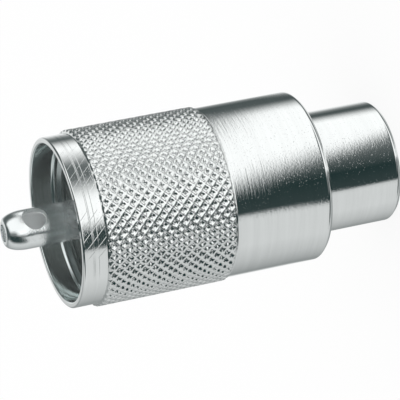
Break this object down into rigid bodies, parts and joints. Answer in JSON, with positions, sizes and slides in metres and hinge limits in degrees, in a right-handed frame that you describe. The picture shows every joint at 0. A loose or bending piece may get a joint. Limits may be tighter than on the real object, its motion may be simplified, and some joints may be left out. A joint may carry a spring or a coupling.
{
  "type": "uhf connector",
  "caption": "Cable plug for UHF coaxial sockets: knurled coupling sleeve turning on a soldered body, plastic insulator and hollow centre pin.",
  "frame": {"origin": "centre of the tail face, where the cable enters; the plug stands on this face", "axes": "+Z along the plug's axis from the cable entry to the tip of the centre pin; +X through the side hole of the pin"},
  "size_m": [0.018, 0.018, 0.0406],
  "materials": {
    "nickel": "bright nickel plate over turned brass",
    "insulator": "moulded off-white plastic",
    "pin": "satin silver plate over brass"
  },
  "bodies": {
    "plug": {"plug_body": "nickel", "insulator": "insulator", "centre_pin": "pin"},
    "sleeve": {"coupling_sleeve": "nickel"}
  },
  "joints": [
    {"name": "sleeve_spin", "type": "hinge", "parent": "plug", "child": "sleeve", "pos_m": [0, 0, 0.0102], "axis": [0, 0, 1], "continuous": true}
  ]
}
